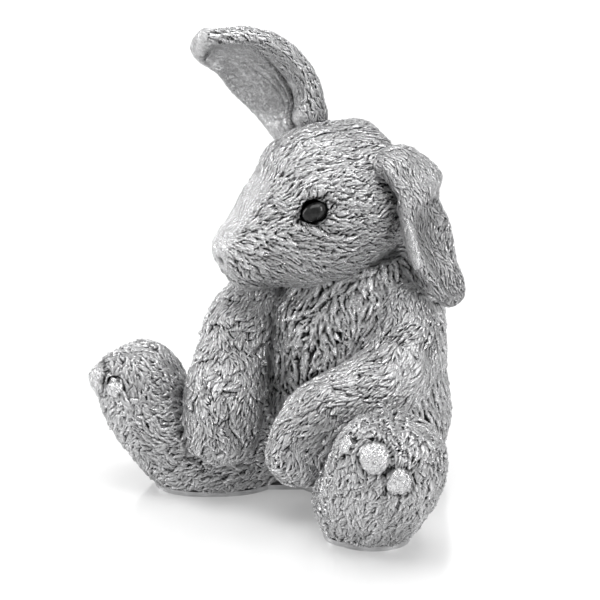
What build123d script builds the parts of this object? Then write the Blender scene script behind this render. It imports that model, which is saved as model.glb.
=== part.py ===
from build123d import *

# Sitting rabbit ornament, cast in several pieces that are located on brass pins, soft-soldered
# and closed underneath by a thin sheet plate. The torso and the head are hollow castings.
#
# Frame: millimetres, +Z up. The rabbit faces -Y and its left side is +X. The origin is on the
# torso's axis at the underside of the base plate.

import os
from math import cos, radians, sin

os.makedirs("parts", exist_ok=True)

# ---------------------------------------------------------------- driving dimensions (mm)
PLATE = 0.8                # thickness of the base plate
TIE_FROM = 6.0             # ties of the plate between the seat and each leg's footprint
TIE_TO = 22.0
TIE_HALF_WIDTH = 3.2
SOLE_OUT = 34.0            # a point inside each foot, out along the leg
SEAT_Z = PLATE             # the torso stands on the plate with a round seat
SEAT_R = 10.9
SEAT_BACK = 0.9            # middle of the seat, behind the torso's axis
WALL = 2.4                 # wall of the two hollow castings
FIT = 0.03                 # radial play of a pin or sleeve in its hole

HEAD_AT = Vector(-1.3, -6.9, 49.0)    # middle of the head
HEAD_TURN = 25.0           # how far the head looks to the rabbit's right, degrees
HEAD_DIP = 35.0            # how far the head's long axis dips below level, degrees
NECK_Z = 40.2              # height of the neck seam on the torso's axis
NECK_TILT = 15.0           # the seam falls this much towards the muzzle, degrees
NECK_FLOOR = 3.0           # metal left on each side of the seam
SLEEVE_R = 5.0             # tube that locates the head on the torso
SLEEVE_BORE = 3.8

EYE_R = 2.3                # radius of the domed eye
EYE_SUNK = 1.5             # how far the middle of its sphere lies under the skin
EYE_BACK = 0.4             # the flat back lies this far behind that middle
EYE_FORWARD = 5.3          # place of the eyes on the head
EYE_UP = 2.2

LEG_SPREAD = 45.0          # each leg's angle from straight ahead, degrees
TAIL_AT = Vector(-0.6, 16.6, 8.6)
TAIL_R = 4.6

# pins: the radius, then how deep each one stands in the near and in the far casting
EAR_PIN_R = 0.8
EAR_RAISED_PIN = (0.6, 4.6)
EAR_LOPPED_PIN = (1.0, 4.6)
ARM_PIN_R = 1.2
ARM_RIGHT_PIN = (2.0, 4.5)
ARM_RIGHT_SEAM = Vector(-8.4, -11.0, 31.0)
ARM_RIGHT_PIN_WAY = Vector(-0.45, -0.6, 0)
ARM_LEFT_PIN = (2.2, 3.4)
ARM_LEFT_SEAM = Vector(13.4, -2.0, 29.5)
ARM_LEFT_PIN_WAY = Vector(1, -0.15, 0)
HIP_PIN_R = 1.5
HIP_PIN = (3.4, 5.0)
HIP_PIN_Z = 8.5
HIP_SEAM_OUT = 15.0        # where a hip pin crosses from the torso into the leg
HIP_PIN_INWARD = 0.6       # share of a leg's sideways shift that its pin gives back
TAIL_PIN_R = 0.8
TAIL_PIN = (2.4, 3.0)
TAIL_SEAM_Y = 15.2

EAR_RIM = 0.8              # width of the rim round an ear's hollow
EAR_FLOOR = 1.2            # metal left behind the hollow
HOLLOW_START = 4.2         # rounded start of the hollow

CAP_ANGLES = (35, 60, 80)  # slices of a rounded end, degrees
BIG = 120.0                # larger than the whole ornament

UP = Vector(0, 0, 1)
LEFT = Vector(1, 0, 0)

# ---------------------------------------------------------------- shapes of the castings (mm)
# distance along the muzzle axis, lift towards the crown, half width, half height
HEAD_SECTIONS = (
    (-11.0, -0.9, 8.8, 9.1),
    (-7.0, -0.9, 11.3, 11.8),
    (-2.0, -0.6, 12.5, 13.1),
    (3.0, -0.4, 12.3, 12.6),
    (7.5, 0.1, 10.8, 10.4),
    (11.5, 0.8, 8.6, 8.1),
    (15.5, 1.3, 6.6, 5.9),
)
HEAD_BACK_CAP = 4.0
MUZZLE_CAP = 4.0

# height, centre x, centre y, radius
TORSO_SECTIONS = (
    (-1.0, 0.0, SEAT_BACK, 9.0),
    (SEAT_Z, 0.0, SEAT_BACK, SEAT_R),
    (3.0, 0.0, 0.8, 13.1),
    (6.0, 0.0, 0.3, 14.8),
    (10.0, 0.0, 0.0, 15.7),
    (16.0, 0.0, 0.0, 15.3),
    (23.0, 0.0, 0.0, 14.9),
    (29.0, 0.0, 0.0, 14.5),
    (34.0, 0.0, -0.5, 13.7),
    (38.0, -0.3, -1.6, 12.0),
    (41.0, -0.7, -3.3, 10.0),
    (44.0, -1.2, -5.2, 7.8),
    (47.0, -1.6, -6.4, 6.0),
)

# distance out along the leg, height, half width, half height
THIGH_SECTIONS = (
    (7.0, 9.0, 6.2, 6.4),
    (13.0, 8.4, 6.6, 7.2),
    (19.0, 6.4, 7.6, 8.2),
    (25.0, 5.4, 8.0, 8.0),
    (28.0, 5.0, 7.6, 7.4),
)
# up the foot: distance out, height, half width, half thickness
FOOT_SECTIONS = (
    (27.0, 3.2, 7.4, 6.0),
    (30.8, 8.4, 8.9, 7.0),
    (33.9, 13.6, 9.4, 7.5),
    (35.7, 17.6, 9.0, 7.2),
)
THIGH_CAPS = (3.0, 5.0)
FOOT_CAPS = (3.6, 6.2)
# toe pads: distance across the foot, height, radius where the dome meets the sole
TOE_PADS = (
    (-6.9, 18.0, 1.3),
    (-2.3, 18.6, 2.5),
    (2.6, 15.2, 2.0),
)
PAD_PROUD = 0.7            # how far a toe pad stands out of the sole

# x, y, z, half width, half depth
ARM_RIGHT = (
    (-10.6, -10.2, 34.0, 4.6, 4.6),
    (-11.4, -13.0, 30.0, 5.4, 5.4),
    (-11.2, -17.0, 24.0, 5.9, 5.9),
    (-9.4, -21.0, 17.4, 6.5, 6.5),
    (-7.8, -23.2, 12.0, 6.2, 6.2),
)
ARM_LEFT = (
    (11.2, -1.4, 33.6, 4.8, 4.8),
    (13.6, -2.8, 29.6, 5.8, 5.8),
    (15.0, -5.8, 24.6, 6.2, 6.2),
    (13.0, -12.6, 20.6, 5.9, 5.9),
    (9.2, -18.0, 17.2, 5.8, 5.8),
    (7.2, -20.2, 11.6, 5.6, 5.6),
)
ARM_CAPS = (3.5, 5.6)

# x, y, z, half width, half thickness
EAR_RAISED = (
    (-6.6, -4.6, 57.0, 4.0, 2.6),
    (-7.3, -5.7, 60.8, 5.2, 2.8),
    (-8.9, -8.1, 66.3, 7.0, 2.9),
    (-11.3, -11.3, 70.9, 7.3, 2.7),
    (-13.4, -14.4, 73.4, 5.9, 2.4),
    (-15.2, -16.8, 74.1, 4.3, 2.0),
)
EAR_RAISED_SIDE = Vector(0.73, 0.14, 0.67)
EAR_RAISED_OPEN = Vector(0.35, -0.88, -0.2)
EAR_LOPPED = (
    (6.8, -3.0, 55.4, 3.6, 2.5),
    (9.2, -1.8, 56.9, 4.8, 2.6),
    (11.7, -0.2, 55.6, 5.7, 2.5),
    (13.2, 0.8, 51.6, 6.2, 2.4),
    (14.0, 1.4, 46.6, 6.2, 2.3),
    (15.7, 2.4, 41.0, 5.4, 2.2),
    (17.7, 3.3, 36.6, 4.0, 2.0),
)
EAR_LOPPED_SIDE = Vector(-0.25, 0.95, 0.0)
EAR_LOPPED_OPEN = Vector(1.0, 0.0, 0.0)
EAR_CAPS = (2.0, 3.2)


# ---------------------------------------------------------------- helpers
def across(way, side):
    """The part of side that is square to way, as a unit vector."""
    way = way.normalized()
    return (side - way * side.dot(way)).normalized()


def ellipse(at, way, side, half_side, half_other):
    """An elliptical face at a point, square to way, its first half axis along side."""
    plane = Plane(origin=at, x_dir=across(way, side), z_dir=way.normalized())
    return plane * Ellipse(half_side, half_other)


def axis_ways(stations):
    """Direction of the line through the stations, at each station."""
    points = [Vector(*s[:3]) for s in stations]
    last = len(points) - 1
    return [points[min(i + 1, last)] - points[max(i - 1, 0)] for i in range(last + 1)]


def cap_faces(station, way, outward, side, length):
    """Shrinking slices that round off one end of a limb."""
    at = Vector(*station[:3])
    faces = []
    for angle in CAP_ANGLES:
        reach = outward.normalized() * length * sin(radians(angle))
        shrink = cos(radians(angle))
        faces.append(
            ellipse(at + reach, way, side, station[3] * shrink, station[4] * shrink)
        )
    return faces


def limb(stations, side, caps=(0, 0)):
    """A solid through elliptical stations, with a rounded end wherever a cap length is given."""
    ways = axis_ways(stations)
    faces = [
        ellipse(Vector(*s[:3]), w, side, s[3], s[4]) for s, w in zip(stations, ways)
    ]
    if caps[0]:
        start = cap_faces(stations[0], ways[0], ways[0] * -1, side, caps[0])
        faces = start[::-1] + faces
    if caps[1]:
        faces = faces + cap_faces(stations[-1], ways[-1], ways[-1], side, caps[1])
    return loft(faces)


def thinner(stations, by):
    """The same stations with both half axes reduced."""
    return [(*s[:3], s[3] - by, s[4] - by) for s in stations]


def rod(at, way, radius, length):
    """A round bar that starts at a point and runs along way."""
    plane = Plane(origin=at, z_dir=way.normalized())
    return Part() + Solid.make_cylinder(radius, length, plane)


def side_of(at, normal):
    """Everything on the side of a plane that its normal points to."""
    plane = Plane(origin=at, z_dir=normal)
    return plane * Box(BIG, BIG, BIG, align=(Align.CENTER, Align.CENTER, Align.MIN))


def ball(at, radius):
    return Pos(at.X, at.Y, at.Z) * Sphere(radius)


def leaves_at(shape, start, way):
    """How far along a line, from a point inside, the shape's skin lies."""
    line = Axis((start.X, start.Y, start.Z), (way.X, way.Y, way.Z))
    meets = shape.find_intersection_points(line)
    return max((point - start).dot(way) for point, _ in meets)


# ---------------------------------------------------------------- the head's own axes
FACING = Vector(-sin(radians(HEAD_TURN)), -cos(radians(HEAD_TURN)), 0)
HEAD_LEFT = Vector(cos(radians(HEAD_TURN)), -sin(radians(HEAD_TURN)), 0)
MUZZLE_WAY = FACING * cos(radians(HEAD_DIP)) - UP * sin(radians(HEAD_DIP))
CROWN_WAY = FACING * sin(radians(HEAD_DIP)) + UP * cos(radians(HEAD_DIP))

NECK_AT = Vector(0, 0, NECK_Z)
NECK_WAY = FACING * sin(radians(NECK_TILT)) + UP * cos(radians(NECK_TILT))


def head_stations():
    rows = []
    for along, lift, half_width, half_height in HEAD_SECTIONS:
        at = HEAD_AT + MUZZLE_WAY * along + CROWN_WAY * lift
        rows.append((at.X, at.Y, at.Z, half_width, half_height))
    return rows


def torso_stations():
    return [(x, y, z, radius, radius) for z, x, y, radius in TORSO_SECTIONS]


torso_form = limb(torso_stations(), LEFT) & side_of(Vector(0, 0, PLATE), UP)
torso_form -= side_of(NECK_AT, NECK_WAY)
head_form = limb(head_stations(), HEAD_LEFT, (HEAD_BACK_CAP, MUZZLE_CAP))


# ---------------------------------------------------------------- legs
class Leg:
    """A leg's own axes: out along it, across it and up, with the foot rolled outwards."""

    def __init__(self, side, shift, roll):
        spread = radians(LEG_SPREAD)
        self.side = side
        self.out = Vector(side * sin(spread), -cos(spread), 0)
        self.across = Vector(side * cos(spread), sin(spread), 0)
        self.shift = shift
        self.roll = radians(roll)

    def at(self, out, over, up):
        return self.out * out + self.across * (self.shift + over) + UP * up

    def stations(self, sections, roll):
        rows = []
        for out, up, half_width, half_height in sections:
            at = self.at(out, up * sin(roll), up)
            rows.append((at.X, at.Y, at.Z, half_width, half_height))
        return rows

    def toe_pads(self, foot):
        """Shallow domes on the sole, each the top of a ball that lies mostly under the skin."""
        pads = []
        for over, up, radius in TOE_PADS:
            turned_over = over * cos(self.roll) + up * sin(self.roll)
            turned_up = up * cos(self.roll) - over * sin(self.roll)
            start = self.at(SOLE_OUT, turned_over, turned_up)
            reach = leaves_at(foot, start, self.out)
            ball_r = (radius**2 + PAD_PROUD**2) / (2 * PAD_PROUD)
            pads.append(ball(start + self.out * (reach + PAD_PROUD - ball_r), ball_r))
        return pads

    def form(self):
        """Thigh, foot and toe pads as one casting, trimmed to the plate and to its own side."""
        whole = limb(self.stations(THIGH_SECTIONS, 0.0), self.across, THIGH_CAPS)
        foot = limb(self.stations(FOOT_SECTIONS, self.roll), self.across, FOOT_CAPS)
        whole += foot
        for pad in self.toe_pads(foot):
            whole += pad
        whole &= side_of(Vector(0, 0, 0), Vector(self.side, 0, 0))
        return whole & side_of(Vector(0, 0, PLATE), UP)


leg_right_axes = Leg(side=-1, shift=-3.3, roll=3.0)
leg_left_axes = Leg(side=1, shift=0.9, roll=14.5)
leg_right_form = leg_right_axes.form()
leg_left_form = leg_left_axes.form()
arm_right_form = limb(ARM_RIGHT, LEFT, ARM_CAPS)
arm_left_form = limb(ARM_LEFT, LEFT, ARM_CAPS)


# ---------------------------------------------------------------- ears and tail
def ear_form(stations, side, opening, first):
    """A rounded blade, hollowed on the side it opens to from its first hollow station on."""
    blade = limb(stations, side, EAR_CAPS)
    hollow = []
    for station, way in zip(stations[first:], axis_ways(stations)[first:]):
        square = across(way, side).cross(way.normalized())
        towards = square if square.dot(opening) > 0 else square * -1
        at = Vector(*station[:3]) + towards * station[4]
        depth = 2 * station[4] - EAR_FLOOR
        hollow.append((at.X, at.Y, at.Z, station[3] - EAR_RIM, depth))
    return blade - limb(hollow, side, (HOLLOW_START, EAR_CAPS[1] - EAR_RIM))


ear_raised_form = ear_form(EAR_RAISED, EAR_RAISED_SIDE, EAR_RAISED_OPEN, 2)
ear_lopped_form = ear_form(EAR_LOPPED, EAR_LOPPED_SIDE, EAR_LOPPED_OPEN, 4)
tail_form = ball(TAIL_AT, TAIL_R)


# ---------------------------------------------------------------- pins
class Pin:
    """A pin across a seam: it stands in a hole of its own depth on each side."""

    def __init__(self, seam, way, radius, inside, outside):
        self.way = way.normalized()
        self.start = seam - self.way * inside
        self.radius = radius
        self.length = inside + outside

    def solid(self):
        return rod(self.start, self.way, self.radius, self.length)

    def hole(self):
        return rod(self.start, self.way, self.radius + FIT, self.length)


def ear_pin(stations, depths):
    """Runs from the first station, inside the head, towards the second."""
    first = Vector(*stations[0][:3])
    second = Vector(*stations[1][:3])
    return Pin(first, second - first, EAR_PIN_R, *depths)


def hip_pin(axes):
    """Points out along the leg, level with the middle of the thigh's root."""
    seam = axes.at(HIP_SEAM_OUT, -HIP_PIN_INWARD * axes.shift, HIP_PIN_Z)
    return Pin(seam, axes.out, HIP_PIN_R, *HIP_PIN)


ear_pin_right = ear_pin(EAR_RAISED, EAR_RAISED_PIN)
ear_pin_left = ear_pin(EAR_LOPPED, EAR_LOPPED_PIN)
arm_pin_right = Pin(ARM_RIGHT_SEAM, ARM_RIGHT_PIN_WAY, ARM_PIN_R, *ARM_RIGHT_PIN)
arm_pin_left = Pin(ARM_LEFT_SEAM, ARM_LEFT_PIN_WAY, ARM_PIN_R, *ARM_LEFT_PIN)
hip_pin_right = hip_pin(leg_right_axes)
hip_pin_left = hip_pin(leg_left_axes)
tail_seam = Vector(TAIL_AT.X, TAIL_SEAM_Y, TAIL_AT.Z)
tail_pin = Pin(tail_seam, Vector(0, 1, 0), TAIL_PIN_R, *TAIL_PIN)

# the sleeve stands square to the neck seam, between the middles of torso and head
sleeve_middle = (HEAD_AT + NECK_AT) * 0.5
sleeve_seam = sleeve_middle - NECK_WAY * (sleeve_middle - NECK_AT).dot(NECK_WAY)
sleeve = Pin(sleeve_seam, NECK_WAY, SLEEVE_R, NECK_FLOOR, NECK_FLOOR)


# ---------------------------------------------------------------- pieces
def make_eye(side):
    """A polished dome with a flat back, let into the side of the head."""
    outward = HEAD_LEFT * side
    start = HEAD_AT + FACING * EYE_FORWARD + UP * EYE_UP
    skin = start + outward * leaves_at(head_form, start, outward)
    inward = (HEAD_AT - skin).normalized()
    middle = skin + inward * EYE_SUNK
    dome = Plane(origin=middle, z_dir=inward) * Sphere(EYE_R)
    return dome - side_of(middle + inward * EYE_BACK, inward)


def make_torso():
    hollow = limb(thinner(torso_stations(), WALL), LEFT)
    hollow -= side_of(NECK_AT - NECK_WAY * NECK_FLOOR, NECK_WAY)
    body = torso_form - hollow - sleeve.hole()
    for pin in (hip_pin_left, hip_pin_right, arm_pin_left, arm_pin_right, tail_pin):
        body -= pin.hole()
    return body


def make_head(eyes):
    sections = thinner(head_stations()[:-1], WALL)
    hollow = limb(sections, HEAD_LEFT, (HEAD_BACK_CAP - WALL, MUZZLE_CAP - WALL))
    hollow &= side_of(NECK_AT + NECK_WAY * NECK_FLOOR, NECK_WAY)
    body = head_form - torso_form - hollow - sleeve.hole()
    for piece in (*eyes, ear_pin_left.hole(), ear_pin_right.hole()):
        body -= piece
    return body


def make_neck_sleeve():
    return sleeve.solid() - rod(sleeve.start, sleeve.way, SLEEVE_BORE, sleeve.length)


def make_leg(form, pin):
    return form - torso_form - pin.hole()


def make_arm(form, leg, pin):
    return form - torso_form - head_form - leg - pin.hole()


def make_ear(form, pin):
    return form - head_form - pin.hole()


def footprint(form):
    """The outline of a casting's flat underside, moved down to the underside of the plate."""
    underside = form.faces().sort_by(Axis.Z)[0]
    return Pos(0, 0, -PLATE) * make_face(underside.outer_wire())


def make_base_plate():
    """Cut flush with the castings that stand on it, with a tie between the seat and each leg."""
    outline = footprint(torso_form)
    for axes, form in ((leg_left_axes, leg_left_form), (leg_right_axes, leg_right_form)):
        tie = (
            axes.at(TIE_FROM, -TIE_HALF_WIDTH, 0),
            axes.at(TIE_TO, -TIE_HALF_WIDTH, 0),
            axes.at(TIE_TO, TIE_HALF_WIDTH, 0),
            axes.at(TIE_FROM, TIE_HALF_WIDTH, 0),
        )
        outline += make_face(Polyline(*tie, close=True))
        outline += footprint(form)
    return extrude(outline, PLATE)


eye_left = make_eye(1)
eye_right = make_eye(-1)
pieces = {
    "torso": make_torso(),
    "head": make_head((eye_left, eye_right)),
    "neck_sleeve": make_neck_sleeve(),
    "ear_raised": make_ear(ear_raised_form, ear_pin_right),
    "ear_lopped": make_ear(ear_lopped_form, ear_pin_left),
    "arm_left": make_arm(arm_left_form, leg_left_form, arm_pin_left),
    "arm_right": make_arm(arm_right_form, leg_right_form, arm_pin_right),
    "leg_left": make_leg(leg_left_form, hip_pin_left),
    "leg_right": make_leg(leg_right_form, hip_pin_right),
    "tail": tail_form - torso_form - tail_pin.hole(),
    "eye_left": eye_left,
    "eye_right": eye_right,
    "base_plate": make_base_plate(),
    "ear_pin_left": ear_pin_left.solid(),
    "ear_pin_right": ear_pin_right.solid(),
    "arm_pin_left": arm_pin_left.solid(),
    "arm_pin_right": arm_pin_right.solid(),
    "hip_pin_left": hip_pin_left.solid(),
    "hip_pin_right": hip_pin_right.solid(),
    "tail_pin": tail_pin.solid(),
}

for name, shape in pieces.items():
    export_step(shape, f"parts/{name}.step")
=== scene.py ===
import math

import bpy
import numpy as np
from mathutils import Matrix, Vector
from mathutils.bvhtree import BVHTree
from mathutils.kdtree import KDTree


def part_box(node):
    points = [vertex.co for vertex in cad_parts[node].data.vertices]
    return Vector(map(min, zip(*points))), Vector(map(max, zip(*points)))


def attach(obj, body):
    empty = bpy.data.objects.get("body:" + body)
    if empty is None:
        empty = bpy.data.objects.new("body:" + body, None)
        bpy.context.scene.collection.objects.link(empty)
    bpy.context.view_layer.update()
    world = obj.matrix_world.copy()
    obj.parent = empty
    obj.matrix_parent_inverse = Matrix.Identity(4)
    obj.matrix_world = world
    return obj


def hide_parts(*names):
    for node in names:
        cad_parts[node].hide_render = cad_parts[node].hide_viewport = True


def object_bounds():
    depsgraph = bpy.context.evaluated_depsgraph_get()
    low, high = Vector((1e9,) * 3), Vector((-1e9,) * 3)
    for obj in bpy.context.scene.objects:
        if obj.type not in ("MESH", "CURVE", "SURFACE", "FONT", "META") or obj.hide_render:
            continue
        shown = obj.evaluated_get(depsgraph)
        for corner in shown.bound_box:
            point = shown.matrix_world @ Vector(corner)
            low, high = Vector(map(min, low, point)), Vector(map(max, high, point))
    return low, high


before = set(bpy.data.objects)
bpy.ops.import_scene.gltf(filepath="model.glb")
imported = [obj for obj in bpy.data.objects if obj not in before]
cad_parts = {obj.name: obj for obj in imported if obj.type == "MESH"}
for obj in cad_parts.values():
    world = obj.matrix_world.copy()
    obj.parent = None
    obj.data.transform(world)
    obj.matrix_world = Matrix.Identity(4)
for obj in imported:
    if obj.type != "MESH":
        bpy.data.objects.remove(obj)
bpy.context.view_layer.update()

# Shapes are worked in millimetres and written back in metres.
MM = 1000.0
FACE_BUDGET = 190000   # triangles for one furry casting
TRIS_PER_FACE = 8      # one remeshed quad becomes four when subdivided, of two triangles each
FINEST_VOXEL = 0.24
UP = np.array((0.0, 0.0, 1.0))


# ---------------------------------------------------------------- small vector helpers
def unit(v):
    v = np.asarray(v, float)
    return v / np.maximum(np.linalg.norm(v, axis=-1, keepdims=True), 1e-9)


def dot(a, b):
    return np.sum(a * b, axis=-1)


def smooth_step(low, high, x):
    t = np.clip((x - low) / (high - low), 0.0, 1.0)
    return t * t * (3 - 2 * t)


def flatten(direction, normal):
    """The part of a direction that lies in the surface, as unit vectors."""
    direction = np.broadcast_to(direction, normal.shape)
    return unit(direction - dot(direction, normal)[:, None] * normal)


def node_box(node):
    low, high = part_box(node)
    return np.array(low) * MM, np.array(high) * MM


def node_middle(node):
    low, high = node_box(node)
    return (low + high) / 2


def waves(points, wavelength, seed, count=5):
    """Smooth random values, about -1 to 1, that vary over the given length."""
    rng = np.random.default_rng(seed)
    ways = unit(rng.normal(size=(count, 3)))
    phases = rng.uniform(0, 2 * math.pi, count)
    stretch = rng.uniform(0.7, 1.5, count) * 2 * math.pi / wavelength
    total = np.zeros(len(points))
    for way, phase, k in zip(ways, phases, stretch):
        total += np.sin(points @ way * k + phase)
    return total / math.sqrt(count / 2) / 1.6


def turn(direction, normal, angle):
    """Turns surface directions about the normal."""
    side = np.cross(normal, direction)
    return direction * np.cos(angle)[:, None] + side * np.sin(angle)[:, None]


# ---------------------------------------------------------------- base shapes from the CAD nodes
def node_points(node):
    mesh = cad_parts[node].data
    co = np.empty(len(mesh.vertices) * 3)
    mesh.vertices.foreach_get("co", co)
    mesh.calc_loop_triangles()
    tris = np.empty(len(mesh.loop_triangles) * 3, int)
    mesh.loop_triangles.foreach_get("vertices", tris)
    return co.reshape(-1, 3) * MM, tris.reshape(-1, 3)


def closed_outside(node):
    """The outer skin of a hollow casting: a ball of points drawn in until each meets metal."""
    co, tris = node_points(node)
    tree = BVHTree.FromPolygons(co.tolist(), tris.tolist())
    middle = (co.min(0) + co.max(0)) / 2
    reach = float(np.linalg.norm(co.max(0) - co.min(0)))
    bpy.ops.mesh.primitive_ico_sphere_add(subdivisions=6, radius=1.0)
    ball = bpy.context.object
    for v in ball.data.vertices:
        way = v.co.normalized()
        hit = tree.ray_cast(Vector(middle) + way * reach, -way)[0]
        v.co = hit if hit else Vector(middle)
    return ball


def solid_copy(node):
    co, tris = node_points(node)
    mesh = bpy.data.meshes.new(node + "_base")
    mesh.from_pydata(co.tolist(), [], tris.tolist())
    ob = bpy.data.objects.new(node + "_base", mesh)
    bpy.context.scene.collection.objects.link(ob)
    return ob


def evaluated(ob, name):
    """The object's mesh with its modifiers applied, as a new mesh; the object is removed."""
    graph = bpy.context.evaluated_depsgraph_get()
    mesh = bpy.data.meshes.new_from_object(
        ob.evaluated_get(graph), preserve_all_data_layers=True, depsgraph=graph
    )
    mesh.name = name
    bpy.data.objects.remove(ob)
    return mesh


def as_object(mesh):
    ob = bpy.data.objects.new(mesh.name, mesh)
    bpy.context.scene.collection.objects.link(ob)
    return ob


def unwrap(ob):
    """One clean unwrap of the smooth shape, which the fine mesh inherits."""
    for other in bpy.context.selected_objects:
        other.select_set(False)
    bpy.context.view_layer.objects.active = ob
    ob.select_set(True)
    layer = ob.data.uv_layers.new(name="OFBake")
    ob.data.uv_layers.active = layer
    bpy.ops.object.mode_set(mode="EDIT")
    bpy.ops.mesh.select_all(action="SELECT")
    bpy.ops.uv.smart_project(angle_limit=math.radians(66), island_margin=0.006)
    bpy.ops.object.mode_set(mode="OBJECT")


def base_mesh(node, hollow=False, rounds=6):
    """A smooth, even quad mesh of a casting's outside, fine enough to carry fur."""
    ob = closed_outside(node) if hollow else solid_copy(node)
    area = sum(p.area for p in ob.data.polygons)
    voxel = max(math.sqrt(TRIS_PER_FACE * area / FACE_BUDGET), FINEST_VOXEL)
    remesh = ob.modifiers.new("remesh", "REMESH")
    remesh.mode = "VOXEL"
    remesh.voxel_size = voxel
    relax = ob.modifiers.new("relax", "SMOOTH")
    relax.factor = 0.5
    relax.iterations = rounds
    ob = as_object(evaluated(ob, node + "_coarse"))
    unwrap(ob)
    subdivide = ob.modifiers.new("subdivide", "SUBSURF")
    subdivide.levels = subdivide.render_levels = 1
    return evaluated(ob, node + "_skin")


class Skin:
    """A casting's fine mesh as arrays: points, normals, edges and per-point channels."""

    def __init__(self, node, hollow=False, rounds=6):
        self.node = node
        self.mesh = base_mesh(node, hollow, rounds)
        self.count = len(self.mesh.vertices)
        co = np.empty(self.count * 3)
        self.mesh.vertices.foreach_get("co", co)
        self.co = co.reshape(-1, 3)
        edges = np.empty(len(self.mesh.edges) * 2, int)
        self.mesh.edges.foreach_get("vertices", edges)
        self.edges = edges.reshape(-1, 2)
        self.links = np.maximum(np.bincount(self.edges.ravel(), minlength=self.count), 1)
        self.relief = np.zeros(self.count)
        self.across = np.zeros(self.count)
        self.along = np.zeros(self.count)
        self.smoothness = np.zeros(self.count)   # 1 where there is no fur
        self.wear = np.zeros(self.count)         # 1 where handling has burnished it
        self.dark = np.zeros(self.count)         # extra patina in the modelled lines
        self.refresh()

    def refresh(self):
        self.mesh.vertices.foreach_set("co", self.co.ravel())
        self.mesh.update()
        no = np.empty(self.count * 3)
        self.mesh.vertex_normals.foreach_get("vector", no)
        self.no = no.reshape(-1, 3)
        self.area = sum(p.area for p in self.mesh.polygons)

    def averaged(self, values, rounds):
        """Values averaged with their neighbours a number of times."""
        a, b = self.edges.T
        for _ in range(rounds):
            total = np.zeros_like(values)
            np.add.at(total, a, values[b])
            np.add.at(total, b, values[a])
            values = 0.5 * values + 0.5 * total / self.links
        return values

    def push(self, amount):
        self.co += self.no * amount[:, None]


# ---------------------------------------------------------------- fur
class Lay:
    """One layer of overlapping locks or strokes. Lengths in millimetres, density per mm2."""

    TIP = 0.55       # share of the length over which the end tapers to a point
    ROOT = 0.25      # share of the length over which the start swells
    STEP = 0.3       # share of the height that differs between overlapping strokes
    BEND = 0.9       # spread of the sideways curl, in half widths
    VARIETY = (0.7, 1.3)   # shortest and longest, narrowest and widest, against the mean

    def __init__(self, length, width, height, density, sway=0.24):
        self.length = length
        self.width = width
        self.height = height
        self.density = density
        self.sway = sway


SEARCH = 0.56          # a stroke reaches half its length; a little more catches its corners
SAME_SIDE = 0.2        # least agreement of normals, so that no stroke wraps round an edge
HAIR_OFFSET = 40       # moves each stroke to its own part of the hair pattern


def lay_strokes(skin, flow, lay, seed):
    """Heights of overlapping strokes, the highest winning, with each winner's own coordinates."""
    rng = np.random.default_rng(seed)
    tree = KDTree(skin.count)
    for i, p in enumerate(skin.co):
        tree.insert(p, i)
    tree.balance()
    count = int(skin.area * lay.density)
    seeds = rng.integers(0, skin.count, count)
    lengths = lay.length * rng.uniform(*lay.VARIETY, len(seeds))
    widths = lay.width * rng.uniform(*lay.VARIETY, len(seeds))
    bends = rng.normal(0, lay.BEND, len(seeds))
    levels = rng.uniform(0, lay.STEP, len(seeds))
    sway = rng.normal(0, lay.sway, len(seeds))
    normals = skin.no[seeds]
    ways = turn(flow[seeds], normals, sway)
    sides = np.cross(normals, ways)
    height = np.zeros(skin.count)
    across = np.zeros(skin.count)
    along = np.zeros(skin.count)
    for k, at in enumerate(seeds):
        length, half = lengths[k], widths[k] / 2
        near = tree.find_range(skin.co[at], length * SEARCH)
        index = np.array([n[1] for n in near])
        away = skin.co[index] - skin.co[at]
        s = away @ ways[k] / length
        w = (away @ sides[k]) / half + bends[k] * (s + 0.5) ** 2
        root = 1 - np.clip((-s - (0.5 - lay.ROOT)) / lay.ROOT, 0, 1) ** 2
        point = 1 - np.clip((s - 0.5 + lay.TIP) / lay.TIP, 0, 1) ** 1.4
        body = root * point
        facing = skin.no[index] @ normals[k] > SAME_SIDE
        inside = (np.abs(w) < body) & (np.abs(s) < 0.5) & facing
        index, s, w, body = index[inside], s[inside], w[inside], body[inside]
        round_top = (1 - (w / body) ** 2) ** 0.75
        rise = levels[k] + (1 - lay.STEP) * round_top * (0.12 + 0.88 * (s + 0.5))
        higher = rise > height[index]
        index = index[higher]
        height[index] = rise[higher]
        across[index] = w[higher] * half + levels[k] * HAIR_OFFSET
        along[index] = s[higher] * length
    return height, across, along


# Relief against the neighbourhood: rounds of averaging and how much each counts.
MEAN_TONE = 0.54
FINE_ROUNDS, FINE_TONE = 5, 1.05
BROAD_ROUNDS, BROAD_TONE = 20, 0.45
BARE_TONE = 0.6        # the tone where there is no fur


def grow_fur(skin, flow, locks, strokes, seed):
    """Adds locks and finer strokes to a skin, and records how high each point stands."""
    furry = 1 - skin.smoothness
    lock_height = lay_strokes(skin, flow, locks, seed)[0]
    wander = 0.35 * waves(skin.co, 3.0, seed + 5)
    fine_flow = turn(flow, skin.no, wander)
    height, skin.across, skin.along = lay_strokes(skin, fine_flow, strokes, seed + 1)
    level = 0.5 * (locks.height + strokes.height)
    total = lock_height * locks.height + height * strokes.height
    skin.push(furry * (total - level))
    fine = (total - skin.averaged(total, FINE_ROUNDS)) / strokes.height
    broad = (total - skin.averaged(total, BROAD_ROUNDS)) / strokes.height
    tone = np.clip(MEAN_TONE + FINE_TONE * fine + BROAD_TONE * broad, 0, 1)
    skin.relief = np.clip(tone * furry + BARE_TONE * skin.smoothness - skin.dark, 0, 1)


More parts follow.
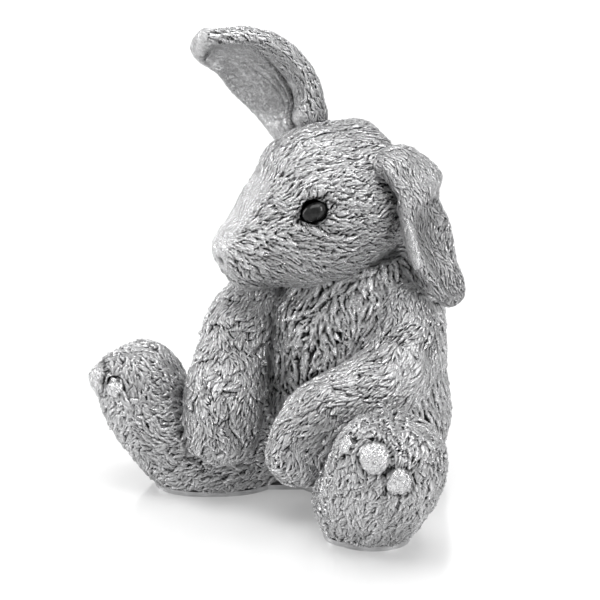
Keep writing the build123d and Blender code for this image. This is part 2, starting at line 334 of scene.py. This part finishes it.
# ---------------------------------------------------------------- flows along a limb
class Spine:
    """The middle line of a long casting, found by slicing its points along one direction."""

    def __init__(self, co, way, slices=14):
        self.way = unit(way)
        t = co @ self.way
        edges = np.linspace(t.min(), t.max(), slices + 1)
        middles = []
        for low, high in zip(edges[:-1], edges[1:]):
            part = co[(t >= low) & (t <= high)]
            middles.append((part.min(0) + part.max(0)) / 2)
        self.middles = np.array(middles)
        self.t = (edges[:-1] + edges[1:]) / 2

    def direction(self, co):
        ways = unit(np.gradient(self.middles, axis=0))
        t = co @ self.way
        return unit(np.stack([np.interp(t, self.t, ways[:, i]) for i in range(3)], 1))

    def middle(self, co):
        t = co @ self.way
        return np.stack([np.interp(t, self.t, self.middles[:, i]) for i in range(3)], 1)

    def half_width(self, co, over):
        """How far the casting reaches sideways from its middle line at each point's slice."""
        t = co @ self.way
        step = (self.t[1] - self.t[0]) / 2
        widths = [np.abs(over[np.abs(t - at) <= step]).max() for at in self.t]
        return np.interp(t, self.t, widths)

    def share(self, co):
        """0 at the start of the casting and 1 at its far end."""
        t = co @ self.way
        return (t - t.min()) / (t.max() - t.min())


# ---------------------------------------------------------------- head
HEAD_BEHIND_EYES = 5.3
HEAD_BELOW_EYES = 2.2
eye_left_at = node_middle("eye_left")
eye_right_at = node_middle("eye_right")
HEAD_LEFT = unit(eye_left_at - eye_right_at)
FACING = unit(np.cross(HEAD_LEFT, UP))
EYES_AT = (eye_left_at + eye_right_at) / 2
HEAD_AT = EYES_AT - FACING * HEAD_BEHIND_EYES - UP * HEAD_BELOW_EYES


def in_head(co):
    """How far points lie forward of, to the left of and above the head's middle."""
    away = co - HEAD_AT
    return away @ FACING, away @ HEAD_LEFT, away @ UP


def from_head(a, side, c):
    return HEAD_AT + FACING * a + HEAD_LEFT * side + UP * c


class EyeOpening:
    """The almond opening of one eye, in its own flat axes."""

    HALF_LENGTH = 1.8
    HALF_HEIGHT = 1.2
    TILT = math.radians(24)

    def __init__(self, side, at):
        self.at = at
        self.out = unit(HEAD_LEFT * side + FACING * 0.25 + UP * 0.12)
        back = unit(-FACING - self.out * dot(-FACING, self.out))
        lift = np.cross(self.out, back)
        lift = lift if lift[2] > 0 else -lift
        self.long = back * math.cos(self.TILT) + lift * math.sin(self.TILT)
        self.high = lift * math.cos(self.TILT) - back * math.sin(self.TILT)

    def flat(self, co):
        away = co - self.at
        return away @ self.long, away @ self.high, away @ self.out

    def ring(self, co):
        """Below 1 inside the almond, 1 on its edge, more outside."""
        x, y, _ = self.flat(co)
        x, y = x / self.HALF_LENGTH, y / self.HALF_HEIGHT
        return np.sqrt(np.abs(x) ** 1.8 + np.abs(y) ** 2 + 0.45 * x * x * y * y)


eye_openings = [EyeOpening(1, eye_left_at), EyeOpening(-1, eye_right_at)]


def gauss(co, at, radius):
    """A soft bump: 1 at a point, falling off over the radius."""
    return np.exp(-(np.linalg.norm(co - at, axis=1) / radius) ** 2)


def make_head():
    skin = Skin("head", hollow=True)
    a, side, c = in_head(skin.co)
    # cheeks, whisker pads, brow and the dip of the bridge in front of the eyes
    for hand in (1, -1):
        skin.push(0.9 * gauss(skin.co, from_head(4, hand * 10, -6.5), 5.0))
        skin.push(0.7 * gauss(skin.co, from_head(15.2, hand * 4.6, -7.0), 2.6))
        skin.push(0.5 * gauss(skin.co, from_head(5.5, hand * 9.6, 5.8), 2.6))
        skin.push(-0.9 * gauss(skin.co, from_head(10.6, hand * 7.6, 1.6), 2.8))
    skin.push(-0.45 * gauss(skin.co, from_head(13.6, 0, 3.0), 3.0))
    chin = gauss(skin.co, from_head(15.6, 0, -10.4), 3.6)
    skin.co -= UP * (0.35 * chin)[:, None]
    skin.refresh()
    # eyes: a shallow socket, a lid with a crisp edge and a deep opening for the bead
    for eye in eye_openings:
        ring = eye.ring(skin.co)
        near = np.linalg.norm(skin.co - eye.at, axis=1) < 7
        socket = np.exp(-((ring - 0.4) / 1.25) ** 2) * near
        lid = np.exp(-((ring - 1.3) / 0.16) ** 2) * near
        crease = np.exp(-((ring - 1.75) / 0.2) ** 2) * near
        skin.push(-0.6 * socket - 0.1 * lid - 0.3 * crease)
        skin.dark += 0.6 * (1 - smooth_step(1.0, 1.25, ring)) * near + 0.2 * crease
        # the dark corner that points down to the nose, and the fold over the eye
        x, y, _ = eye.flat(skin.co)
        corner = np.exp(-(((x + 2.0) / 0.9) ** 2 + ((y + 0.2) / 0.42) ** 2)) * near
        fold = np.exp(-(((x - 0.9) / 2.6) ** 2 + ((y - 1.75) / 0.3) ** 2)) * near
        skin.push(-0.5 * corner - 0.35 * fold)
        skin.dark += 0.6 * corner + 0.4 * fold
        hole = (1 - smooth_step(0.86, 1.08, ring)) * near
        skin.co -= eye.out * (1.7 * hole)[:, None]
        skin.smoothness = np.maximum(skin.smoothness, (1 - smooth_step(0.95, 1.1, ring)) * near)
    # nose: a smooth strip down the bridge, the nose pad, nostrils and the mouth line
    strip = 1 - smooth_step(2.6, 4.2, np.abs(side) + 0.6 * waves(skin.co, 2.5, 31))
    strip *= smooth_step(8.5, 11.5, a) * (1 - smooth_step(4.5, 7.5, c))
    strip *= smooth_step(-9.6, -8.6, c)
    skin.smoothness = np.maximum(skin.smoothness, 0.8 * strip)
    skin.wear = np.maximum(skin.wear, 0.7 * strip)
    pad = gauss(skin.co, from_head(18.6, 0, -5.9), 1.9)
    skin.push(0.6 * pad)
    split = np.exp(-(side / 0.28) ** 2) * smooth_step(-11.6, -10.6, c)
    split *= (1 - smooth_step(-8.9, -7.9, c)) * smooth_step(11, 13, a)
    skin.push(-0.5 * split)
    skin.dark += 0.4 * split
    for hand in (1, -1):
        nostril = gauss(skin.co, from_head(18.2, hand * 1.5, -7.4), 0.75)
        skin.push(-0.7 * nostril)
        skin.dark += 0.55 * nostril
        lip_line = c + 10.2 + 0.05 * (hand * side - 2) ** 2
        lips = np.exp(-(lip_line / 0.3) ** 2) * smooth_step(0, 0.5, hand * side)
        lips *= (1 - smooth_step(4.2, 5.4, hand * side)) * smooth_step(9, 11, a)
        skin.push(-0.4 * lips)
        skin.dark += 0.35 * lips
    skin.refresh()
    # fur runs back from the nose, sinks on the cheeks and fans out round the eyes
    nose = from_head(20.0, 0, -5.0)
    away = unit(skin.co - nose)
    drop = smooth_step(2, -8, c)[:, None] * UP
    flow = away - 0.45 * drop
    for eye in eye_openings:
        x, y, _ = eye.flat(skin.co)
        fan = unit(x[:, None] * eye.long + y[:, None] * eye.high)
        near = np.exp(-((eye.ring(skin.co) - 1) / 1.3) ** 2) * (dot(skin.no, eye.out) > 0.3)
        flow = flow + fan * (1.3 * near)[:, None]
    flow = flatten(flow, skin.no)
    flow = turn(flow, skin.no, 0.38 * waves(skin.co, 8.0, 11))
    grow_fur(
        skin, flow, Lay(3.2, 1.4, 0.36, 0.6), Lay(2.3, 0.52, 0.4, 3.8, sway=0.17), seed=101
    )
    return skin


def finish_piece(skin, material):
    """Writes the shape and its channels back and parents the piece to the root body."""
    skin.mesh.vertices.foreach_set("co", (skin.co / MM).ravel())
    for name in ("relief", "across", "along", "wear"):
        channel = skin.mesh.attributes.new(name, "FLOAT", "POINT")
        channel.data.foreach_set("value", getattr(skin, name).astype(np.float32))
    skin.mesh.update()
    skin.mesh.shade_smooth()
    skin.mesh.name = skin.node + "_cast"
    ob = as_object(skin.mesh)
    ob.data.materials.clear()
    ob.data.materials.append(material)
    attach(ob, "root")
    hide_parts(skin.node)
    return ob


# ---------------------------------------------------------------- torso
def make_torso():
    skin = Skin("torso", hollow=True)
    low, high = node_box("torso")
    middle = (low + high) / 2
    away = skin.co - middle
    # a fuller chest in front
    front = gauss(skin.co, np.array((middle[0], low[1] + 1, low[2] + 27)), 8.0)
    skin.push(0.5 * front)
    skin.refresh()
    skin.smoothness = smooth_step(low[2] + 1.0, low[2] + 0.2, skin.co[:, 2])
    inward = -away * np.array((0.03, 0.0, 0.0))
    flow = flatten(inward - UP, skin.no)
    flow = turn(flow, skin.no, 0.45 * waves(skin.co, 9.0, 21))
    grow_fur(
        skin, flow, Lay(4.8, 1.8, 0.75, 0.45), Lay(2.9, 0.68, 0.5, 2.6), seed=201
    )
    return skin


# ---------------------------------------------------------------- arms
TOE_GROOVES = (-1.7, 1.7)   # across the paw
GROOVE_HALF_WIDTH = 0.42
GROOVE_DEPTH = 0.55
ELBOW_UP = 26.0
ELBOW_RADIUS = 3.6


def make_arm(node, seed, locks, strokes):
    skin = Skin(node)
    low, high = node_box(node)
    shoulder = np.array((0.5 * (low[0] + high[0]), high[1], high[2]))
    paw = np.array((0.5 * (low[0] + high[0]), low[1], low[2]))
    spine = Spine(skin.co, paw - shoulder)
    ways = spine.direction(skin.co)
    share = spine.share(skin.co)
    outward = unit(skin.co - spine.middle(skin.co))
    # toes: grooves that part the end of the paw
    side = unit(np.cross(spine.way, UP))
    over = (skin.co - spine.middle(skin.co)) @ side
    end = smooth_step(0.86, 0.97, share)
    for at in TOE_GROOVES:
        groove = np.exp(-((over - at) / GROOVE_HALF_WIDTH) ** 2) * end
        skin.push(-GROOVE_DEPTH * groove)
    skin.refresh()
    flow = flatten(ways + 0.25 * outward, skin.no)
    flow = turn(flow, skin.no, 0.35 * waves(skin.co, 7.0, seed))
    if node == "arm_left":
        # a thinner coat on the outside of the elbow
        elbow = np.array((high[0] - 1.0, low[1] + 0.62 * (high[1] - low[1]), ELBOW_UP))
        worn = gauss(skin.co, elbow, ELBOW_RADIUS)
        skin.smoothness = np.clip(1.1 * worn - 0.25, 0, 0.45)
    grow_fur(skin, flow, locks, strokes, seed=seed)
    return skin


# ---------------------------------------------------------------- legs
PADS = (   # across the sole, up, radius, how proud
    (-8.0, 19.0, 1.6, 0.8),
    (-3.5, 19.2, 2.7, 1.5),
    (1.4, 16.2, 2.2, 1.1),
)
OFF_THE_SOLE = 100     # keeps the nearest point to a pad from being found anywhere else


def make_leg(node, hand, shift, roll, seed):
    """One leg, hand 1 for the left and -1 for the right.

    The sole's middle sits shift to one side, and the foot leans over by roll degrees.
    """
    skin = Skin(node)
    spread = math.radians(45)
    out = np.array((hand * math.sin(spread), -math.cos(spread), 0))
    over_way = np.array((hand * math.cos(spread), math.sin(spread), 0))
    o, x, z = skin.co @ out, skin.co @ over_way, skin.co[:, 2]
    sole = smooth_step(0.25, 0.6, skin.no @ out) * smooth_step(o.max() - 15, o.max() - 11, o)
    # toe pads: polished domes with a soft groove round each
    pads = np.zeros(skin.count)
    lean = math.radians(roll)
    for over, up, radius, proud in PADS:
        target_x = shift + over * math.cos(lean) + up * math.sin(lean)
        target_z = up * math.cos(lean) - over * math.sin(lean)
        gap = np.hypot(x - target_x, z - target_z) + OFF_THE_SOLE * (sole < 0.3)
        centre = skin.co[np.argmin(gap)]
        away = np.linalg.norm(skin.co - centre, axis=1) / radius
        rim = np.exp(-((away - 1.15) / 0.13) ** 2)
        skin.push(-0.25 * rim)
        skin.dark += 0.2 * rim
        skin.push(proud * 0.7 * np.clip(1 - away**2, 0, 1))
        pads = np.maximum(pads, 1 - smooth_step(0.8, 1.05, away + 0.1 * waves(skin.co, 1.5, 41)))
    skin.smoothness = np.maximum(skin.smoothness, 0.95 * pads)
    skin.dark += 0.1 * pads
    skin.wear = pads
    skin.push(0.1 * waves(skin.co, 1.3, 43) * pads)
    skin.refresh()
    # fur: out along the thigh, up the foot's back, round the toes and down the sole
    upward = smooth_step(o.max() - 16, o.max() - 9, o)[:, None]
    flow = (1 - upward) * (out - 0.35 * UP) + upward * (0.8 * UP + 0.4 * out)
    flow = flow * (1 - sole[:, None]) + sole[:, None] * (-UP - 0.35 * over_way * hand)
    flow = flatten(flow, skin.no)
    flow = turn(flow, skin.no, 0.4 * waves(skin.co, 7.0, seed))
    grow_fur(
        skin, flow, Lay(3.0, 1.8, 0.6, 0.55), Lay(2.3, 0.86, 0.52, 2.2), seed=seed
    )
    return skin


# ---------------------------------------------------------------- ears
FURROWS = ((0.3, 0.45, 0.55), (-0.05, 0.3, 0.25), (-0.4, 0.25, 0.2))   # place, width, depth
FURROW_SPREAD = 7.0


def make_ear(node, pin, opening, seed):
    """A furry blade: furrows in the raised ear's hollow, a bright bare rim on the hanging one."""
    skin = Skin(node, rounds=8)
    root = node_middle(pin)
    reach = np.linalg.norm(skin.co - root, axis=1)
    tip = skin.co[np.argmax(reach)]
    spine = Spine(skin.co, tip - root, 8)
    ways = spine.direction(skin.co)
    share = spine.share(skin.co)
    opening = unit(opening)
    facing = dot(skin.no, opening)
    side = unit(np.cross(ways, opening))
    over = dot(skin.co - spine.middle(skin.co), side)
    edge = over / spine.half_width(skin.co, over)
    if node == "ear_raised":
        # positive towards the crown, where the fur laps over the rim into the hollow
        edge = edge * np.sign(dot(side[0], HEAD_LEFT))
        inner = smooth_step(0.05, 0.4, facing) * smooth_step(0.03, 0.12, share)
        floor = inner * smooth_step(0.95, 0.5, np.abs(edge))
        skin.push(1.1 * floor)
        inner *= 1 - smooth_step(0.15, 0.55, edge + 0.15 * waves(skin.co, 3.0, seed))
        for at, wide, deep in FURROWS:
            line = over * np.sign(dot(side[0], HEAD_LEFT)) - at * FURROW_SPREAD * (0.15 + share)
            furrow = np.exp(-((line / wide) ** 2)) * floor * (1 - smooth_step(0.35, 0.8, share))
            skin.push(-deep * furrow)
            skin.dark += 0.5 * deep * furrow
        skin.smoothness = 0.85 * inner
    else:
        # the outer face is hollow below the bend, with a bright rim and a bare front edge
        front = edge * np.sign(-side[0][1])
        outer = smooth_step(-0.1, 0.3, facing)
        low_down = smooth_step(0.3, 0.45, share)
        rim = np.exp(-(((front - 0.88) / 0.055) ** 2)) * smooth_step(-0.5, 0.0, facing) * low_down
        skin.push(0.4 * rim)
        band = smooth_step(0.8, 0.95, front) * smooth_step(0.2, 0.4, share)
        pit = low_down * outer * smooth_step(0.85, 0.6, np.abs(front))
        skin.dark += 0.1 * pit
        skin.smoothness = np.maximum(np.maximum(0.6 * band, 0.3 * pit), 0.9 * rim)
        skin.wear = rim
    skin.push(0.06 * waves(skin.co, 1.1, seed + 9, 9) * skin.smoothness)
    skin.refresh()
    flow = flatten(ways, skin.no)
    flow = turn(flow, skin.no, 0.3 * waves(skin.co, 6.0, seed))
    grow_fur(
        skin, flow, Lay(3.4, 1.4, 0.32, 0.5), Lay(2.2, 0.54, 0.34, 3.5), seed=seed
    )
    return skin


# ---------------------------------------------------------------- tail
def make_tail():
    skin = Skin("tail", rounds=3)
    middle = node_middle("tail")
    flow = flatten(unit(skin.co - middle) * 0.2 + np.array((0, 0.4, -1.0)), skin.no)
    flow = turn(flow, skin.no, 0.6 * waves(skin.co, 4.0, 71))
    grow_fur(
        skin, flow, Lay(3.2, 1.6, 0.4, 0.7), Lay(2.0, 0.7, 0.3, 2.4), seed=701
    )
    return skin


# ---------------------------------------------------------------- eyes
EYE_SET = 0.35         # how far the bead's middle stands out of the opening
BEAD_TUCK = 0.25       # how far the bead runs under the edge of the opening
BEAD_DOME = 1.15


def make_eye_bead(node, eye):
    """A domed almond of dark polished glass that fills its opening."""
    bpy.ops.mesh.primitive_ico_sphere_add(subdivisions=5, radius=1.0)
    ob = bpy.context.object
    ob.name = node + "_bead"
    mesh = ob.data
    co = np.array([v.co[:] for v in mesh.vertices])
    size = (eye.HALF_LENGTH + BEAD_TUCK, eye.HALF_HEIGHT + BEAD_TUCK, BEAD_DOME)
    shaped = eye.at + eye.out * EYE_SET
    for axis, way in enumerate((eye.long, eye.high, eye.out)):
        shaped = shaped + np.outer(co[:, axis] * size[axis], way)
    mesh.vertices.foreach_set("co", (shaped / MM).ravel())
    mesh.update()
    mesh.shade_smooth()
    return ob


# ---------------------------------------------------------------- materials
class Nodes:
    """Short helpers for building a shader tree."""

    def __init__(self, name):
        self.material = bpy.data.materials.new(name)
        self.material.use_nodes = True
        self.tree = self.material.node_tree
        self.shader = self.tree.nodes["Principled BSDF"]

    def add(self, kind, **settings):
        node = self.tree.nodes.new(kind)
        for key, value in settings.items():
            setattr(node, key, value)
        return node

    def link(self, source, target):
        self.tree.links.new(source, target)

    def attribute(self, name):
        return self.add("ShaderNodeAttribute", attribute_name=name).outputs["Fac"]

    def object_position(self, scale):
        coordinates = self.add("ShaderNodeTexCoord")
        mapping = self.add("ShaderNodeMapping")
        mapping.inputs["Scale"].default_value = (scale, scale, scale)
        self.link(coordinates.outputs["Object"], mapping.inputs["Vector"])
        return mapping.outputs["Vector"]

    def noise(self, vector, scale, detail=3.0, roughness=0.55):
        node = self.add("ShaderNodeTexNoise")
        node.inputs["Scale"].default_value = scale
        node.inputs["Detail"].default_value = detail
        node.inputs["Roughness"].default_value = roughness
        self.link(vector, node.inputs["Vector"])
        return node.outputs["Fac"]

    def math(self, operation, a, b):
        node = self.add("ShaderNodeMath", operation=operation)
        for socket, value in zip(node.inputs, (a, b)):
            if isinstance(value, (int, float)):
                socket.default_value = value
            else:
                self.link(value, socket)
        return node.outputs[0]

    def ramp(self, value, stops):
        node = self.add("ShaderNodeValToRGB")
        ramp = node.color_ramp
        while len(ramp.elements) < len(stops):
            ramp.elements.new(0.5)
        for element, (at, colour) in zip(ramp.elements, stops):
            element.position = at
            element.color = (*colour, 1)
        self.link(value, node.inputs["Fac"])
        return node.outputs["Color"]

    def bump(self, height, strength, distance, normal=None):
        node = self.add("ShaderNodeBump")
        node.inputs["Strength"].default_value = strength
        node.inputs["Distance"].default_value = distance
        self.link(height, node.inputs["Height"])
        if normal is not None:
            self.link(normal, node.inputs["Normal"])
        return node.outputs["Normal"]


def grey(value):
    return (value, value, value * 1.01)


PATCHES = 0.34         # how much each of these moves the tone of the silver
SPECKS = 0.48
BURNISH = 0.22
HAIR_ACROSS = 4.5      # engraved hairs per millimetre, across a stroke and along it
HAIR_ALONG = 0.6


def silver_material():
    """Antiqued silver: burnished high points, grey flanks and dark patina left in the grooves."""
    n = Nodes("antiqued_silver")
    place = n.object_position(MM)
    relief = n.attribute("relief")
    wear = n.attribute("wear")
    # the patina is not even: it lies in patches and is thinner where hands polish it
    patch = n.noise(place, 0.16, 4)
    speck = n.noise(place, 3.4, 3)
    level = n.math("ADD", relief, n.math("MULTIPLY", n.math("SUBTRACT", patch, 0.5), PATCHES))
    level = n.math("ADD", level, n.math("MULTIPLY", n.math("SUBTRACT", speck, 0.5), SPECKS))
    level = n.math("ADD", level, n.math("MULTIPLY", wear, BURNISH))
    colour = n.ramp(
        level,
        (
            (0.10, grey(0.015)),
            (0.26, grey(0.08)),
            (0.40, grey(0.27)),
            (0.54, grey(0.50)),
            (0.72, grey(0.72)),
            (0.95, grey(0.92)),
        ),
    )
    n.link(colour, n.shader.inputs["Base Color"])
    n.shader.inputs["Metallic"].default_value = 1.0
    rough = n.ramp(
        n.math("ADD", level, n.math("MULTIPLY", wear, 0.15)),
        ((0.2, (0.55,) * 3), (0.5, (0.36,) * 3), (0.85, (0.22,) * 3)),
    )
    n.link(rough, n.shader.inputs["Roughness"])
    # fine engraved hairs that follow each stroke, and fine pitting all over
    across = n.attribute("across")
    along = n.attribute("along")
    hair_at = n.add("ShaderNodeCombineXYZ")
    n.link(n.math("MULTIPLY", across, HAIR_ACROSS), hair_at.inputs["X"])
    n.link(n.math("MULTIPLY", along, HAIR_ALONG), hair_at.inputs["Y"])
    hairs = n.noise(hair_at.outputs["Vector"], 1.0, 2, 0.6)
    pits = n.noise(place, 3.2, 4, 0.65)
    normal = n.bump(hairs, 0.9, 0.00022)
    normal = n.bump(pits, 0.6, 0.00016, normal)
    n.link(normal, n.shader.inputs["Normal"])
    return n.material


def plate_material():
    """The sheet under the figure: dull sawn edge with fine scratches."""
    n = Nodes("plate_sheet")
    place = n.object_position(MM)
    stretched = n.add("ShaderNodeMapping")
    stretched.inputs["Scale"].default_value = (0.5, 0.5, 9.0)
    n.link(place, stretched.inputs["Vector"])
    scratches = n.noise(stretched.outputs["Vector"], 1.2, 3)
    stains = n.noise(place, 0.22, 4)
    mixed = n.math("ADD", n.math("MULTIPLY", scratches, 0.5), n.math("MULTIPLY", stains, 0.5))
    colour = n.ramp(mixed, ((0.3, grey(0.35)), (0.5, grey(0.55)), (0.7, grey(0.75))))
    n.link(colour, n.shader.inputs["Base Color"])
    n.shader.inputs["Metallic"].default_value = 1.0
    n.link(n.ramp(stains, ((0.3, (0.55,) * 3), (0.7, (0.35,) * 3))), n.shader.inputs["Roughness"])
    n.link(n.bump(scratches, 0.3, 0.00008), n.shader.inputs["Normal"])
    return n.material


def bead_material():
    """Near-black polished glass with a faint paler cloud."""
    n = Nodes("dark_bead")
    place = n.object_position(MM)
    cloud = n.noise(place, 0.7, 4)
    colour = n.ramp(cloud, ((0.35, grey(0.006)), (0.7, grey(0.03))))
    n.link(colour, n.shader.inputs["Base Color"])
    smears = n.ramp(n.noise(place, 1.6, 3), ((0.4, (0.05,) * 3), (0.7, (0.16,) * 3)))
    n.link(smears, n.shader.inputs["Roughness"])
    n.shader.inputs["Specular IOR Level"].default_value = 0.3
    return n.material


def brass_material():
    """Turned brass, dulled where solder has run over it."""
    n = Nodes("turned_brass")
    place = n.object_position(MM)
    tone = n.noise(place, 0.8, 4)
    colour = n.ramp(tone, ((0.3, (0.42, 0.30, 0.12)), (0.7, (0.72, 0.55, 0.26))))
    n.link(colour, n.shader.inputs["Base Color"])
    n.shader.inputs["Metallic"].default_value = 1.0
    n.link(n.ramp(tone, ((0.3, (0.5,) * 3), (0.7, (0.28,) * 3))), n.shader.inputs["Roughness"])
    n.link(n.bump(n.noise(place, 4.0), 0.2, 0.00005), n.shader.inputs["Normal"])
    return n.material


def floor_material():
    """A pale, slightly glossy table top."""
    n = Nodes("white_table")
    n.shader.inputs["Base Color"].default_value = (0.62, 0.62, 0.62, 1)
    n.shader.inputs["Roughness"].default_value = 0.16
    n.shader.inputs["Specular IOR Level"].default_value = 0.5
    n.shader.inputs["Emission Color"].default_value = (1, 1, 1, 1)
    n.shader.inputs["Emission Strength"].default_value = 0.25
    return n.material


# ---------------------------------------------------------------- build the object
silver = silver_material()
skins = [
    make_head(),
    make_torso(),
    make_arm("arm_left", 301, Lay(4.0, 1.8, 0.65, 0.5), Lay(2.6, 0.66, 0.46, 2.7)),
    make_arm("arm_right", 401, Lay(4.2, 2.6, 0.95, 0.34), Lay(2.5, 0.66, 0.44, 2.7)),
    make_leg("leg_left", 1, 0.9, 14.5, 501),
    make_leg("leg_right", -1, -3.3, 3.0, 551),
    make_ear("ear_raised", "ear_pin_right", (0.35, -0.88, -0.2), 601),
    make_ear("ear_lopped", "ear_pin_left", (1.0, 0.0, 0.0), 651),
    make_tail(),
]
for skin in skins:
    finish_piece(skin, silver)

bead = bead_material()
for eye, node in zip(eye_openings, ("eye_left", "eye_right")):
    ob = make_eye_bead(node, eye)
    ob.data.materials.append(bead)
    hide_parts(node)
    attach(ob, "root")

brass = brass_material()
plate = plate_material()
for node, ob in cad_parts.items():
    if ob.hide_render:
        continue
    ob.data.materials.clear()
    ob.data.materials.append(plate if node == "base_plate" else brass)

# ---------------------------------------------------------------- table, light and camera
low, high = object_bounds()
size = max(high - low)

bpy.ops.mesh.primitive_plane_add(size=40 * size, location=(0, 0, 0))
floor = bpy.context.object
floor.name = "table"
floor.data.materials.append(floor_material())


def softbox(name, place, target, width, height, power):
    """A rectangular light; places and sizes are in lengths of the object's longest side."""
    light = bpy.data.lights.new(name, "AREA")
    light.shape = "RECTANGLE"
    light.size, light.size_y = width * size, height * size
    light.energy = power * size * size
    ob = bpy.data.objects.new(name, light)
    ob.location = Vector(place) * size
    aim = Vector(target) * size - ob.location
    ob.rotation_mode = "QUATERNION"
    ob.rotation_quaternion = aim.to_track_quat("-Z", "Y")
    bpy.context.scene.collection.objects.link(ob)


middle = (0, 0, 0.45)
softbox("top", (0.3, -0.4, 3.2), middle, 2.8, 2.8, 85)
softbox("left", (-2.6, -1.8, 1.6), middle, 0.7, 2.4, 45)
softbox("right", (2.8, 0.2, 1.8), middle, 0.6, 2.4, 40)
softbox("back", (-3.2, 3.2, 1.3), middle, 5.0, 2.4, 50)

world = bpy.data.worlds.new("studio")
bpy.context.scene.world = world
world.use_nodes = True
world.node_tree.nodes["Background"].inputs["Color"].default_value = (1, 1, 1, 1)
world.node_tree.nodes["Background"].inputs["Strength"].default_value = 0.46

CAMERA_AZIMUTH, CAMERA_ELEVATION = math.radians(45), math.radians(19)
CAMERA_AWAY = 0.70
WIDTH_AT_OBJECT = 0.100
AIM_LEFT, AIM_UP = 0.0092, 0.0292   # where the middle of the picture falls, from the origin
back = Vector(
    (
        math.sin(CAMERA_AZIMUTH) * math.cos(CAMERA_ELEVATION),
        -math.cos(CAMERA_AZIMUTH) * math.cos(CAMERA_ELEVATION),
        math.sin(CAMERA_ELEVATION),
    )
)
right = Vector((math.cos(CAMERA_AZIMUTH), math.sin(CAMERA_AZIMUTH), 0))
lift = back.cross(right)
camera = bpy.data.objects.new("camera", bpy.data.cameras.new("camera"))
bpy.context.scene.collection.objects.link(camera)
camera.data.lens = camera.data.sensor_width * CAMERA_AWAY / WIDTH_AT_OBJECT
aim_at = -right * AIM_LEFT + lift * AIM_UP
camera.location = aim_at + back * CAMERA_AWAY
camera.rotation_mode = "QUATERNION"
camera.rotation_quaternion = (-back).to_track_quat("-Z", "Y")
camera.data.clip_start, camera.data.clip_end = 0.05, 20
bpy.context.scene.camera = camera
bpy.context.scene.view_settings.view_transform = "Standard"
